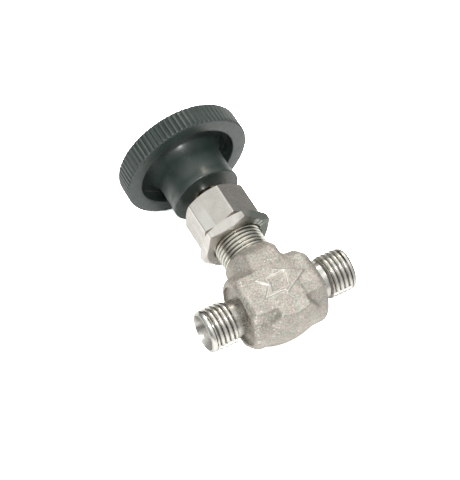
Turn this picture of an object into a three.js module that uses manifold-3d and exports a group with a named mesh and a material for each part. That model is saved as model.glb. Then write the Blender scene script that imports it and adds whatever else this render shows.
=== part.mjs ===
// A miniature needle valve with a threaded bonnet neck forged in one with the body.
// Millimetres. +Z runs up the stem to the knob, X runs along the two ports, and the marked
// pad faces -Y. Every size below is counted from the point where the port axis crosses the
// stem axis; the last group lifts that point so that the belly's lowest point is the origin.
// The valve stands two turns open: the needle's lift is zero in this pose.
// Threads are drawn as rings of V grooves; mating threads are plain bores with a running gap.

import * as THREE from 'three';
import { mergeVertices } from 'three/addons/utils/BufferGeometryUtils.js';
import Module from 'manifold-3d';

const wasm = await Module();
wasm.setup();

// ---- Driving dimensions -------------------------------------------------------------------

// Tube ports, 7/16-20 UNF outside thread for 1/4 inch tube.
const PORT_FACE = 20.35;        // from the stem axis to a port's end face
const PORT_THREAD = { crest: 5.555, root: 4.78, pitch: 1.27, start: 13.0 };
const PORT_RELIEF_RADIUS = 4.75;
const PORT_LIP_RADIUS = 5.05;   // end face, inside the thread's lead chamfer
const PORT_CONE_RADIUS = 4.65;  // mouth of the internal cone
const TUBE_SOCKET_RADIUS = 3.2;
const TUBE_SOCKET_DEPTH = 8.5;
const PORT_BORE_RADIUS = 2.4;
const CONE_HALF_ANGLE = THREE.MathUtils.degToRad(12);

// Forged body.
const COLLAR_FACE = 10.5;       // end faces of the forging, across X
const COLLAR_RADIUS = 9.2;
const POCKET_RADIUS = 7.7;      // round pocket around each port's neck
const POCKET_DEPTH = 1.0;
const BELLY_DEPTH = 10.9;       // lowest point of the keel, below the port axis
const PAD_DEPTH = 9.3;          // flat pads, front and back
const PAD_HALF_LENGTH = 9.6;
const PAD_TOP = 4.7;
const PAD_BOTTOM = -6.6;
const BACK_PAD_BOTTOM = -4.4;
const APRON_HALF_WIDTH = 4.9;   // where a pad runs up into the boss
const APRON_TOP = 12.3;
const BOSS_RADIUS = 7.3;        // round shoulder under the bonnet thread
const BOSS_TOP = 12.9;
const ARROW_RELIEF = 0.35;

// Bonnet neck, 1/2-24 outside thread.
const NECK_SHOULDER_HEIGHT = 0.3; // plain band under the first turn
const NECK_THREAD = { crest: 6.35, root: 5.7, pitch: 1.0583, start: BOSS_TOP + 0.6 };
const NECK_TOP = 27.2;
const PACKING_BORE_RADIUS = 4.2;
const PACKING_FLOOR = 14.0;
const STEM_BORE_RADIUS = 3.3;   // stands for the 1/4-28 inside thread
const STEM_BORE_FLOOR = 3.4;

// Seat and passages.
const ORIFICE_RADIUS = 1.6;
const ORIFICE_FLOOR = -4.2;
const SEAT_RIM_RADIUS = 2.1;
const CHAMBER_RADIUS = 2.9;
const CROSS_DRILL_RADIUS = 1.4;

// Stem and needle, 1/4-28 stem thread.
const STEM_PITCH = 0.9071;
const TURNS_OPEN = 2;
const STEM_THREAD = { crest: 3.05, root: 2.6, pitch: STEM_PITCH, start: 5.6 };
const STEM_THREAD_TURNS = 6;
const STEM_RADIUS = 2.38;
const STEM_TOP = 47.6;
const STEM_FLAT = 2.0;          // flat for the set screw, from the stem axis
const NEEDLE_HALF_ANGLE = THREE.MathUtils.degToRad(30);
const NEEDLE_POINT_RADIUS = 0.4;
const NEEDLE_RADIUS = 2.2;
const NEEDLE_SHOULDER = 5.0;
const NEEDLE_SHANK_RADIUS = 1.0;
const NEEDLE_SHANK_TOP = 8.0;
const RUNNING_GAP = 0.12;

// Packing set.
const PACKING_INNER_RADIUS = STEM_RADIUS + RUNNING_GAP;
const PACKING_OUTER_RADIUS = 4.1;
const PACKING_VEE = 0.5;        // rise of each ring's V
const RING_HEIGHT = 1.6;
const RING_GAP = 0.05;
const WASHER_HEIGHT = 0.9;
const GLAND_FLANGE = { radius: 5.6, bottom: 27.5, top: 28.5 };

// Hexagon nuts on the neck.
const NUT_BORE_RADIUS = NECK_THREAD.crest + 0.1;
const PANEL_NUT = { acrossFlats: 17.4, bottom: 19.0, height: 3.0, turn: -109.9, chamfer: 0.75 };
const PACKING_NUT = { acrossFlats: 15.3, bottom: 22.3, height: 10.2, turn: -117.1, chamfer: 0.6 };
const PACKING_NUT_ROOF = 28.6;
const PACKING_NUT_CROWN_RADIUS = 6.6;
const PACKING_NUT_CROWN = 1.3;  // height of the chamfered crown

// Knob.
const KNOB_RADIUS = 17.25;
const KNOB_BOTTOM = 45.0;       // underside of the rim
const KNOB_TOP = 51.1;
const KNOB_DISH = 0.8;          // shallow dish in the top face
const KNOB_FLUTES = 80;
const FLUTE_DEPTH = 0.35;
const RECESS_RADIUS = 13.1;
const RECESS_CEILING = 48.6;
const HUB_RADIUS = 9.0;
const HUB_LIP_RADIUS = 9.25;
const HUB_LIP_HEIGHT = 1.2;
const HUB_BOTTOM = 35.0;
const HUB_FLARE = { across: 3.9, height: 5.6 }; // the bell curve into the recess
const INSERT = { acrossFlats: 9.0, bottom: 36.0, top: 47.8 };
const INSERT_GAP = 0.05;
const KNOB_BORE_TOP = 48.4;
const SET_SCREW = { radius: 2.08, inner: 2.3, outer: 8.4, height: 40.0, socket: 2.0, socketDepth: 2.6 };
const SET_SCREW_GAP = 0.3;

const ROUND_SMALL = 24;         // sides of the solids that pass down the neck's bores
const ROUND = 32;
const ROUND_LARGE = 48;         // sides of the forging, the nuts' turned ends and the knob

// ---- Solids -------------------------------------------------------------------------------

// A closed three.js geometry as a manifold solid.
function solid(geometry) {
  const bare = geometry.clone();
  bare.deleteAttribute('normal');
  bare.deleteAttribute('uv');
  const merged = mergeVertices(bare, 1e-5);
  const index = merged.index.array;
  const triangles = [];
  for (let i = 0; i < index.length; i += 3) {
    const [a, b, c] = [index[i], index[i + 1], index[i + 2]];
    if (a !== b && b !== c && c !== a) triangles.push(a, b, c);
  }
  return new wasm.Manifold(new wasm.Mesh({
    numProp: 3,
    vertProperties: new Float32Array(merged.attributes.position.array),
    triVerts: new Uint32Array(triangles),
  }));
}

// A manifold solid as a three.js geometry with flat faces.
function geometryOf(manifold) {
  const mesh = manifold.getMesh();
  const geometry = new THREE.BufferGeometry();
  geometry.setAttribute('position', new THREE.BufferAttribute(new Float32Array(mesh.vertProperties), 3));
  geometry.setIndex(new THREE.BufferAttribute(new Uint32Array(mesh.triVerts), 1));
  geometry.computeVertexNormals();
  return geometry;
}

// Revolves [radius, height] points about Z. The points run up the outside, and the outline
// either starts and ends on the axis or closes on itself.
function revolve(points, sides = ROUND) {
  const outline = points.map(([radius, height]) => new THREE.Vector2(radius, height));
  if (points[0][0] > 0) outline.push(outline[0].clone());
  return new THREE.LatheGeometry(outline, sides).rotateX(Math.PI / 2);
}

// Turns a Z-axis geometry to lie along X, its top towards +X.
function alongX(geometry) {
  return geometry.rotateY(Math.PI / 2);
}

// A tube or washer between two heights.
function ring(inner, outer, bottom, top, sides = ROUND) {
  return revolve([[inner, bottom], [outer, bottom], [outer, top], [inner, top]], sides);
}

function rod(radius, bottom, top, sides = ROUND) {
  return revolve([[0, bottom], [radius, bottom], [radius, top], [0, top]], sides);
}

function prism(outline, bottom, top, holes = []) {
  const shape = new THREE.Shape(outline.map(([x, y]) => new THREE.Vector2(x, y)));
  for (const hole of holes) {
    shape.holes.push(new THREE.Path(hole.map(([x, y]) => new THREE.Vector2(x, y))));
  }
  const geometry = new THREE.ExtrudeGeometry(shape, { depth: top - bottom, bevelEnabled: false });
  return geometry.translate(0, 0, bottom);
}

// A hexagon's corners; its first flat faces +X.
function hexagon(acrossFlats) {
  const cornerRadius = acrossFlats / Math.sqrt(3);
  return Array.from({ length: 6 }, (_, k) => {
    const angle = (k + 0.5) * Math.PI / 3;
    return [cornerRadius * Math.cos(angle), cornerRadius * Math.sin(angle)];
  });
}

// The V grooves of a thread, as outline points from its start up to the given height.
function threadOutline({ crest, root, pitch, start }, end) {
  const turns = Math.floor((end - start) / pitch);
  const points = [];
  for (let k = 0; k < turns; k += 1) {
    points.push([root, start + k * pitch]);
    points.push([crest, start + (k + 0.5) * pitch]);
  }
  points.push([root, start + turns * pitch]);
  return points;
}

// A round drilling between two points in the XZ plane.
function drilling(from, to, radius) {
  const start = new THREE.Vector3(from[0], 0, from[1]);
  const direction = new THREE.Vector3(to[0], 0, to[1]).sub(start);
  const turn = new THREE.Quaternion().setFromUnitVectors(
    new THREE.Vector3(0, 0, 1), direction.clone().normalize());
  const geometry = rod(radius, 0, direction.length(), ROUND_SMALL);
  return geometry.applyQuaternion(turn).translate(start.x, 0, start.z);
}

// ---- Materials ----------------------------------------------------------------------------

const finish = (color, roughness, metalness) => ({ color, roughness, metalness });
const FORGED_STEEL = finish(0xb3aaa0, 0.55, 0.9);
const MACHINED_STEEL = finish(0xc8c4ba, 0.25, 1.0);
const BLACK_PLASTIC = finish(0x0c0d0e, 0.35, 0.0);
const BRASS = finish(0xb08d4a, 0.35, 1.0);
const WHITE_PTFE = finish(0xe8e6e0, 0.5, 0.0);

function piece(name, manifold, look) {
  const mesh = new THREE.Mesh(geometryOf(manifold), new THREE.MeshStandardMaterial(look));
  mesh.name = name;
  return mesh;
}

// ---- Valve body ---------------------------------------------------------------------------

// A convex block through points that are given on its right-hand side.
function mirroredHull(points) {
  const left = points.map(([x, y, z]) => [-x, y, z]);
  return wasm.Manifold.hull([...points, ...left]);
}

// The round run of the forging along the ports.
function run() {
  return solid(alongX(rod(COLLAR_RADIUS, -COLLAR_FACE, COLLAR_FACE, ROUND_LARGE)));
}

// The flat-sided block that carries the front and back pads; its underside falls away inwards.
function wings() {
  const keelDepth = 1.9;
  const middleDepth = 8.2;
  const ridge = 7.4;
  const section = [
    [-PAD_DEPTH, PAD_TOP],
    [-PAD_DEPTH, PAD_BOTTOM],
    [-keelDepth, -middleDepth],
    [keelDepth, -middleDepth],
    [PAD_DEPTH, BACK_PAD_BOTTOM],
    [PAD_DEPTH, PAD_TOP],
    [0, ridge],
  ];
  return mirroredHull(section.map(([y, z]) => [PAD_HALF_LENGTH, y, z]));
}

// Where the pads run up, front and back, nearly to the top of the round boss.
function apron() {
  const bendHeight = 8.0;
  const topDepth = 7.4;
  const topHalfWidth = 4.2;
  return mirroredHull([
    [APRON_HALF_WIDTH, -PAD_DEPTH, 0],
    [APRON_HALF_WIDTH, -PAD_DEPTH, bendHeight],
    [topHalfWidth, -topDepth, APRON_TOP],
    [topHalfWidth, topDepth, APRON_TOP],
    [APRON_HALF_WIDTH, PAD_DEPTH, bendHeight],
    [APRON_HALF_WIDTH, PAD_DEPTH, 0],
  ]);
}

// The belly under the port axis: a tongue in the front pad's plane that flares out behind it.
// Each section is [y, half width, depth on the stem axis, rise at the half width].
function keel() {
  const sections = [
    [-PAD_DEPTH, 4.0, 10.15, 0.95],
    [-1.9, 7.8, 10.75, 1.9],
    [1.9, 7.8, BELLY_DEPTH, 2.0],
    [5.0, 7.8, 9.7, 1.8],
    [PAD_DEPTH, 7.4, 7.2, 0.8],
  ];
  const steps = 4;
  const points = [];
  for (const [y, halfWidth, depth, rise] of sections) {
    points.push([halfWidth, y, 0]);
    for (let k = 0; k <= steps; k += 1) {
      points.push([halfWidth * k / steps, y, rise * (k / steps) ** 2 - depth]);
    }
  }
  return mirroredHull(points);
}

// The round shoulder under the bonnet neck, with a curved upper edge.
function boss() {
  const edge = 0.3;
  const steps = 2;
  const points = [[0, 0], [BOSS_RADIUS, 0]];
  for (let k = 0; k <= steps; k += 1) {
    const turn = k / steps * Math.PI / 2;
    points.push([
      BOSS_RADIUS - edge * (1 - Math.cos(turn)),
      BOSS_TOP - edge * (1 - Math.sin(turn)),
    ]);
  }
  points.push([0, BOSS_TOP]);
  return solid(revolve(points, ROUND_LARGE));
}

// The flow arrow that stands proud of the front pad, with its plain sunken panel.
function flowArrow() {
  const axis = -0.8;
  const tip = 7.1;
  const headBase = 0.1;
  const headHalfWidth = 4.1;
  const shaftHalfWidth = 2.4;
  const tail = -5.8;
  const tailHalfWidth = 3.0;
  const notch = -3.3;
  const outline = [
    [tip, axis],
    [headBase, axis + headHalfWidth],
    [headBase, axis + shaftHalfWidth],
    [tail, axis + tailHalfWidth],
    [notch, axis],
    [tail, axis - tailHalfWidth],
    [headBase, axis - shaftHalfWidth],
    [headBase, axis - headHalfWidth],
  ];
  const panel = [[-2.0, axis - 1.5], [-2.0, axis + 1.5], [1.6, axis + 1.8], [1.6, axis - 1.8]];
  const arrow = prism(outline, PAD_DEPTH - 1, PAD_DEPTH + ARROW_RELIEF, [panel]);
  return solid(arrow.rotateX(Math.PI / 2));
}

function port() {
  const chamfer = PORT_THREAD.crest - PORT_LIP_RADIUS;
  return solid(alongX(revolve([
    [0, COLLAR_FACE - 3],
    [PORT_RELIEF_RADIUS, COLLAR_FACE - 3],
    ...threadOutline(PORT_THREAD, PORT_FACE - chamfer),
    [PORT_THREAD.crest, PORT_FACE - chamfer],
    [PORT_LIP_RADIUS, PORT_FACE],
    [0, PORT_FACE],
  ])));
}

// The air inside one port: the ring pocket round its neck, and the cone, socket and bore.
function portAir(drillEnd) {
  const coneLength = (PORT_CONE_RADIUS - TUBE_SOCKET_RADIUS) / Math.tan(CONE_HALF_ANGLE);
  const shoulder = PORT_FACE - TUBE_SOCKET_DEPTH;
  return solid(alongX(revolve([
    [0, drillEnd - 0.8],
    [PORT_BORE_RADIUS, drillEnd],
    [PORT_BORE_RADIUS, shoulder],
    [TUBE_SOCKET_RADIUS, shoulder],
    [TUBE_SOCKET_RADIUS, PORT_FACE - coneLength],
    [PORT_CONE_RADIUS, PORT_FACE],
    [PORT_CONE_RADIUS, PORT_FACE + 1],
    [0, PORT_FACE + 1],
  ])));
}

function pocketAir() {
  return solid(alongX(ring(
    PORT_RELIEF_RADIUS, POCKET_RADIUS, COLLAR_FACE - POCKET_DEPTH, COLLAR_FACE + 1)));
}

function neck() {
  const lead = 0.65;
  return solid(revolve([
    [0, BOSS_TOP - 2],
    [NECK_THREAD.crest, BOSS_TOP - 2],
    [NECK_THREAD.crest, BOSS_TOP + NECK_SHOULDER_HEIGHT],
    ...threadOutline(NECK_THREAD, NECK_TOP - lead),
    [NECK_THREAD.root, NECK_TOP],
    [0, NECK_TOP],
  ]));
}

// The air down the stem axis: packing bore, stem thread, chamber, seat and orifice.
function stemAir() {
  const seatDepth = SEAT_RIM_RADIUS - ORIFICE_RADIUS;
  return solid(revolve([
    [0, ORIFICE_FLOOR - 0.6],
    [ORIFICE_RADIUS, ORIFICE_FLOOR],
    [ORIFICE_RADIUS, 0],
    [SEAT_RIM_RADIUS, seatDepth],
    [CHAMBER_RADIUS, seatDepth],
    [CHAMBER_RADIUS, STEM_BORE_FLOOR],
    [STEM_BORE_RADIUS, STEM_BORE_FLOOR],
    [STEM_BORE_RADIUS, PACKING_FLOOR],
    [PACKING_BORE_RADIUS, PACKING_FLOOR],
    [PACKING_BORE_RADIUS, NECK_TOP + 1],
    [0, NECK_TOP + 1],
  ]));
}

function valveBody() {
  const drillEnd = 8.2;
  const mirrorX = (manifold) => manifold.rotate([0, 0, 180]);
  const inletDrilling = drilling([-drillEnd - 0.8, 0], [0, ORIFICE_FLOOR + 0.8], CROSS_DRILL_RADIUS);
  const outletDrilling = drilling([drillEnd + 0.8, 0.2], [CHAMBER_RADIUS - 0.8, 2.5], CROSS_DRILL_RADIUS);
  const forging = run().add(wings()).add(apron()).add(keel()).add(boss())
    .subtract(pocketAir())
    .subtract(mirrorX(pocketAir()))
    .add(flowArrow());
  return forging
    .add(port())
    .add(mirrorX(port()))
    .add(neck())
    .subtract(portAir(drillEnd))
    .subtract(mirrorX(portAir(drillEnd)))
    .subtract(stemAir())
    .subtract(solid(inletDrilling))
    .subtract(solid(outletDrilling));
}

// ---- Stem and needle ----------------------------------------------------------------------

// The needle's point, from the height where its cone would meet the orifice's edge when shut.
function needleTip() {
  const seatClearance = 0.05;
  const lift = TURNS_OPEN * STEM_PITCH + seatClearance;
  const coneHeight = (radius) => lift + (radius - ORIFICE_RADIUS) / Math.tan(NEEDLE_HALF_ANGLE);
  return solid(revolve([
    [0, coneHeight(NEEDLE_POINT_RADIUS)],
    [NEEDLE_POINT_RADIUS, coneHeight(NEEDLE_POINT_RADIUS)],
    [NEEDLE_RADIUS, coneHeight(NEEDLE_RADIUS)],
    [NEEDLE_RADIUS, NEEDLE_SHOULDER],
    [NEEDLE_SHANK_RADIUS, NEEDLE_SHOULDER],
    [NEEDLE_SHANK_RADIUS, NEEDLE_SHANK_TOP],
    [0, NEEDLE_SHANK_TOP],
  ], ROUND_SMALL));
}

function stem() {
  const nose = NEEDLE_SHOULDER + 0.1;
  const threadEnd = STEM_THREAD.start + STEM_THREAD_TURNS * STEM_PITCH;
  const topChamfer = 0.4;
  const bar = solid(revolve([
    [0, nose],
    [STEM_THREAD.root, nose],
    ...threadOutline(STEM_THREAD, threadEnd + 0.01),
    [STEM_RADIUS, threadEnd + 0.2],
    [STEM_RADIUS, STEM_TOP - topChamfer],
    [STEM_RADIUS - topChamfer, STEM_TOP],
    [0, STEM_TOP],
  ], ROUND_SMALL));
  const shankHole = rod(NEEDLE_SHANK_RADIUS + 0.15, nose - 1, NEEDLE_SHANK_TOP + 0.4, ROUND_SMALL);
  const flatLength = 6;
  const flat = new THREE.BoxGeometry(8, 2, flatLength).translate(0, STEM_FLAT + 1, SET_SCREW.height);
  return bar.subtract(solid(shankHole)).subtract(solid(flat));
}

// ---- Packing ------------------------------------------------------------------------------

const PACKING_MIDDLE_RADIUS = (PACKING_INNER_RADIUS + PACKING_OUTER_RADIUS) / 2;

// Support washer under the packing, with a raised V for the lowest ring.
function supportWasher() {
  const top = PACKING_FLOOR + WASHER_HEIGHT;
  return solid(revolve([
    [PACKING_INNER_RADIUS, PACKING_FLOOR],
    [PACKING_OUTER_RADIUS, PACKING_FLOOR],
    [PACKING_OUTER_RADIUS, top],
    [PACKING_MIDDLE_RADIUS, top + PACKING_VEE],
    [PACKING_INNER_RADIUS, top],
  ], ROUND_SMALL));
}

function ringBottom(number) {
  return PACKING_FLOOR + WASHER_HEIGHT + RING_GAP + number * (RING_HEIGHT + RING_GAP);
}

function packingRing(number) {
  const bottom = ringBottom(number);
  const top = bottom + RING_HEIGHT;
  return solid(revolve([
    [PACKING_INNER_RADIUS, bottom],
    [PACKING_MIDDLE_RADIUS, bottom + PACKING_VEE],
    [PACKING_OUTER_RADIUS, bottom],
    [PACKING_OUTER_RADIUS, top],
    [PACKING_MIDDLE_RADIUS, top + PACKING_VEE],
    [PACKING_INNER_RADIUS, top],
  ], ROUND_SMALL));
}

// Gland: a sleeve in the packing bore, pressed down by the packing nut on its flange.
function gland() {
  const bottom = ringBottom(3);
  return solid(revolve([
    [PACKING_INNER_RADIUS, bottom],
    [PACKING_MIDDLE_RADIUS, bottom + PACKING_VEE],
    [PACKING_OUTER_RADIUS, bottom],
    [PACKING_OUTER_RADIUS, GLAND_FLANGE.bottom],
    [GLAND_FLANGE.radius, GLAND_FLANGE.bottom],
    [GLAND_FLANGE.radius, GLAND_FLANGE.top],
    [PACKING_INNER_RADIUS, GLAND_FLANGE.top],
  ], ROUND_SMALL));
}

// ---- Nuts ---------------------------------------------------------------------------------

// A hexagon bar between 0 and its height, its corners turned down to the given end radii.
function chamferedHexagon(acrossFlats, height, bottomEnd, topEnd) {
  const cornerRadius = acrossFlats / Math.sqrt(3) + 0.05;
  const turning = revolve([
    [0, 0],
    [bottomEnd.radius, 0],
    [cornerRadius, bottomEnd.height],
    [cornerRadius, height - topEnd.height],
    [topEnd.radius, height],
    [0, height],
  ], ROUND_LARGE);
  return solid(prism(hexagon(acrossFlats), -1, height + 1)).intersect(solid(turning));
}

function panelNut() {
  const { acrossFlats, height, chamfer } = PANEL_NUT;
  const end = { radius: acrossFlats / 2, height: chamfer };
  return chamferedHexagon(acrossFlats, height, end, end)
    .subtract(solid(rod(NUT_BORE_RADIUS, -1, height + 1)));
}

function packingNut() {
  const { acrossFlats, height, bottom, chamfer } = PACKING_NUT;
  const bottomEnd = { radius: acrossFlats / 2, height: chamfer };
  const crown = { radius: PACKING_NUT_CROWN_RADIUS, height: PACKING_NUT_CROWN };
  const inside = revolve([
    [0, -1],
    [NUT_BORE_RADIUS, -1],
    [NUT_BORE_RADIUS, PACKING_NUT_ROOF - bottom],
    [PACKING_INNER_RADIUS, PACKING_NUT_ROOF - bottom],
    [PACKING_INNER_RADIUS, height + 1],
    [0, height + 1],
  ]);
  return chamferedHexagon(acrossFlats, height, bottomEnd, crown).subtract(solid(inside));
}

// ---- Knob ---------------------------------------------------------------------------------

// Outline of the knob's rim: a circle cut by evenly spaced shallow flutes.
function flutedCircle() {
  const points = [];
  const step = 2 * Math.PI / KNOB_FLUTES;
  for (let k = 0; k < KNOB_FLUTES; k += 1) {
    for (const [share, radius] of [[0, KNOB_RADIUS - FLUTE_DEPTH], [0.5, KNOB_RADIUS]]) {
      const angle = (k + share) * step;
      points.push([radius * Math.cos(angle), radius * Math.sin(angle)]);
    }
  }
  return points;
}

function setScrewHole() {
  const hole = rod(SET_SCREW.radius + SET_SCREW_GAP, 0, HUB_LIP_RADIUS + 1, ROUND_SMALL);
  return solid(hole.rotateX(-Math.PI / 2).translate(0, 0, SET_SCREW.height));
}

function knob() {
  const edge = 0.9;
  const flareSteps = 5;
  const flare = Array.from({ length: flareSteps + 1 }, (_, k) => {
    const angle = (k / flareSteps) * Math.PI / 2;
    return [
      HUB_RADIUS + HUB_FLARE.across * (1 - Math.cos(angle)),
      RECESS_CEILING - HUB_FLARE.height * (1 - Math.sin(angle)),
    ];
  });
  const turned = revolve([
    [0, HUB_BOTTOM],
    [HUB_LIP_RADIUS, HUB_BOTTOM],
    [HUB_LIP_RADIUS, HUB_BOTTOM + HUB_LIP_HEIGHT],
    [HUB_RADIUS, HUB_BOTTOM + HUB_LIP_HEIGHT + 0.4],
    ...flare,
    [RECESS_RADIUS, RECESS_CEILING],
    [RECESS_RADIUS, KNOB_BOTTOM],
    [KNOB_RADIUS - edge / 2, KNOB_BOTTOM],
    [KNOB_RADIUS, KNOB_BOTTOM + edge / 2],
    [KNOB_RADIUS, KNOB_TOP - edge],
    [KNOB_RADIUS - edge, KNOB_TOP],
    [RECESS_RADIUS, KNOB_TOP],
    [RECESS_RADIUS - 1.5, KNOB_TOP - KNOB_DISH],
    [0, KNOB_TOP - KNOB_DISH],
  ], ROUND_LARGE);
  const rim = prism(flutedCircle(), HUB_BOTTOM - 1, KNOB_TOP + 1);
  const insertHexagon = hexagon(INSERT.acrossFlats + 2 * INSERT_GAP);
  const insertHole = prism(insertHexagon, INSERT.bottom, INSERT.top + INSERT_GAP);
  const entry = rod(STEM_RADIUS + 1, HUB_BOTTOM - 1, INSERT.bottom + 0.1);
  const tipClearance = rod(STEM_RADIUS + 0.2, INSERT.top, KNOB_BORE_TOP);
  return solid(turned)
    .intersect(solid(rim))
    .subtract(solid(insertHole))
    .subtract(solid(entry))
    .subtract(solid(tipClearance))
    .subtract(setScrewHole());
}

// Brass bush moulded into the hub; it carries the set screw's thread.
function knobInsert() {
  return solid(prism(hexagon(INSERT.acrossFlats), INSERT.bottom, INSERT.top))
    .subtract(solid(rod(STEM_RADIUS + INSERT_GAP, INSERT.bottom - 1, INSERT.top + 1, ROUND_SMALL)))
    .subtract(setScrewHole());
}

// Socket set screw; its own axis is Z here, and its socket opens upwards.
function setScrew() {
  const length = SET_SCREW.outer - SET_SCREW.inner;
  const point = 0.5;
  const bar = revolve([
    [0, 0],
    [SET_SCREW.radius - point, 0],
    [SET_SCREW.radius, point],
    [SET_SCREW.radius, length],
    [0, length],
  ], ROUND_SMALL);
  const socket = prism(hexagon(SET_SCREW.socket), length - SET_SCREW.socketDepth, length + 1);
  return solid(bar).subtract(solid(socket));
}

// ---- Assembly -----------------------------------------------------------------------------

const drawing = new THREE.Group();
drawing.position.z = BELLY_DEPTH;
drawing.add(piece('valve_body', valveBody(), FORGED_STEEL));

const packing = new THREE.Group();
packing.add(piece('packing_support_washer', supportWasher(), MACHINED_STEEL));
packing.add(piece('packing_ring_lower', packingRing(0), WHITE_PTFE));
packing.add(piece('packing_ring_middle', packingRing(1), WHITE_PTFE));
packing.add(piece('packing_ring_upper', packingRing(2), WHITE_PTFE));
packing.add(piece('packing_gland', gland(), MACHINED_STEEL));
drawing.add(packing);

const nuts = new THREE.Group();
const panelNutMesh = piece('panel_nut', panelNut(), MACHINED_STEEL);
panelNutMesh.position.z = PANEL_NUT.bottom;
panelNutMesh.rotation.z = THREE.MathUtils.degToRad(PANEL_NUT.turn);
nuts.add(panelNutMesh);
const packingNutMesh = piece('packing_nut', packingNut(), MACHINED_STEEL);
packingNutMesh.position.z = PACKING_NUT.bottom;
packingNutMesh.rotation.z = THREE.MathUtils.degToRad(PACKING_NUT.turn);
nuts.add(packingNutMesh);
drawing.add(nuts);

const spindle = new THREE.Group();
spindle.add(piece('needle_tip', needleTip(), MACHINED_STEEL));
spindle.add(piece('stem', stem(), MACHINED_STEEL));
spindle.add(piece('knob', knob(), BLACK_PLASTIC));
spindle.add(piece('knob_insert', knobInsert(), BRASS));
const setScrewMesh = piece('knob_set_screw', setScrew(), MACHINED_STEEL);
setScrewMesh.position.set(0, SET_SCREW.inner, SET_SCREW.height);
setScrewMesh.rotation.x = -Math.PI / 2;
spindle.add(setScrewMesh);
drawing.add(spindle);

const valve = new THREE.Group();
valve.add(drawing);

export default valve;
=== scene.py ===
"""A stainless needle valve with a black fluted knob, lying on a pale table.

Sizes are in millimetres from the point where the port axis crosses the stem axis, as on the
part's drawing: +Z up the stem, X along the ports, -Y out of the marked pad. to_row() turns
them into the row frame, whose origin is the lowest point of the belly.
"""
import math

import bmesh
import bpy
import numpy as np
from mathutils import Matrix, Vector


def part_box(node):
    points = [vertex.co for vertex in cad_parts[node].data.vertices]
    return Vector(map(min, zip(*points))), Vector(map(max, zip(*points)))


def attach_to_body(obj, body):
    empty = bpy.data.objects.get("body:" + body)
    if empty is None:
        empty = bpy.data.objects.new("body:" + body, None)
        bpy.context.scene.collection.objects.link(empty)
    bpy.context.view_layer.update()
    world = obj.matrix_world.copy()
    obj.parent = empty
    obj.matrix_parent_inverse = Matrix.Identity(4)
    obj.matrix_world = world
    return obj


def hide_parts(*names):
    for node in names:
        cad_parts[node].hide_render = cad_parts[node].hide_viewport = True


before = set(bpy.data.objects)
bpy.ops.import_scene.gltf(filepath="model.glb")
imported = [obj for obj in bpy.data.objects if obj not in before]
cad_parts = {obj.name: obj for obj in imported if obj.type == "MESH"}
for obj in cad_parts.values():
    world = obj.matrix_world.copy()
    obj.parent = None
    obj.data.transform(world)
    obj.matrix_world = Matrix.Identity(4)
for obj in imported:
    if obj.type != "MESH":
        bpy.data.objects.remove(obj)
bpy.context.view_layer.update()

MM = 0.001
PORT_AXIS_HEIGHT = 10.9
GROOVE_SCALE = 10.0

# ---- Sizes of the part: the CAD's, or a little fuller ----------------------------------------

PORT_FACE = 20.35
PORT_CREST, PORT_ROOT, PORT_PITCH = 5.555, 4.80, 1.27
PORT_THREAD_START = 13.0
PORT_RELIEF = 4.75
PORT_LIP, PORT_CONE = 5.05, 4.65
SOCKET, SOCKET_DEPTH, PORT_BORE = 3.2, 8.5, 2.4
CONE_ANGLE = math.radians(12)

COLLAR_FACE, COLLAR_RADIUS = 10.5, 9.55
POCKET_RADIUS, POCKET_DEPTH = 7.7, 1.0
PAD_DEPTH = 9.3
PAD_HALF_LENGTH = 10.4
PAD_TOP, PAD_BOTTOM = 4.7, -6.6
BOSS_RADIUS, BOSS_TOP = 7.3, 12.9
BOSS_SHIFT = 0.15
APRON_TOP, APRON_BEND, APRON_HALF_WIDTH = 12.3, 8.0, 5.0
FRONT_HALF_WIDTH = 3.9
ARROW_HEIGHT, ARROW_PANEL_DEPTH = 0.48, 0.50

NECK_CREST, NECK_ROOT, NECK_PITCH = 6.35, 5.72, 1.0583
NECK_TOP = 27.2
PACKING_BORE, PACKING_FLOOR = 4.2, 14.0
NECK_SOCKET_FLOOR = 11.0

PANEL_NUT_ACROSS, PANEL_NUT_BOTTOM, PANEL_NUT_TOP = 17.4, 19.0, 22.0
PANEL_NUT_TURN = math.radians(-109.9)
PACKING_NUT_ACROSS, PACKING_NUT_BOTTOM, PACKING_NUT_TOP = 15.3, 22.3, 32.5
PACKING_NUT_TURN = math.radians(-117.1)
PACKING_NUT_ROOF = 28.6
NUT_BORE = 6.45

STEM_RADIUS, STEM_TOP = 2.38, 47.6
STEM_SCREW_RADIUS, STEM_SCREW_TOP = 3.05, 10.9
KNOB_RADIUS, KNOB_BOTTOM, KNOB_TOP = 17.25, 45.0, 51.1
RECESS_RADIUS, RECESS_CEILING = 13.1, 48.6
HUB_RADIUS, HUB_LIP, HUB_BOTTOM = 9.0, 9.25, 35.0
FLARE_ACROSS, FLARE_HEIGHT = 3.9, 5.6
HUB_BORE, HUB_BORE_CEILING, HUB_MOUTH = 2.6, 48.4, 3.4
INSERT_POCKET, INSERT_BOTTOM, INSERT_TOP = 5.25, 36.0, 47.85
FLUTES, FLUTE_DEPTH = 80, 0.36
RIM_EDGE, RIM_ROUND, KNOB_DISH = 0.45, 0.9, 0.8
SCREW_HEIGHT, SCREW_RADIUS, SCREW_INNER, SCREW_OUTER = 40.0, 2.08, 2.3, 8.4


# ---- Mesh building ---------------------------------------------------------------------------

def to_row(points):
    """Drawing millimetres to row-frame metres."""
    points = np.asarray(points, float)
    return (points + np.array([0.0, 0.0, PORT_AXIS_HEIGHT])) * MM


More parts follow.
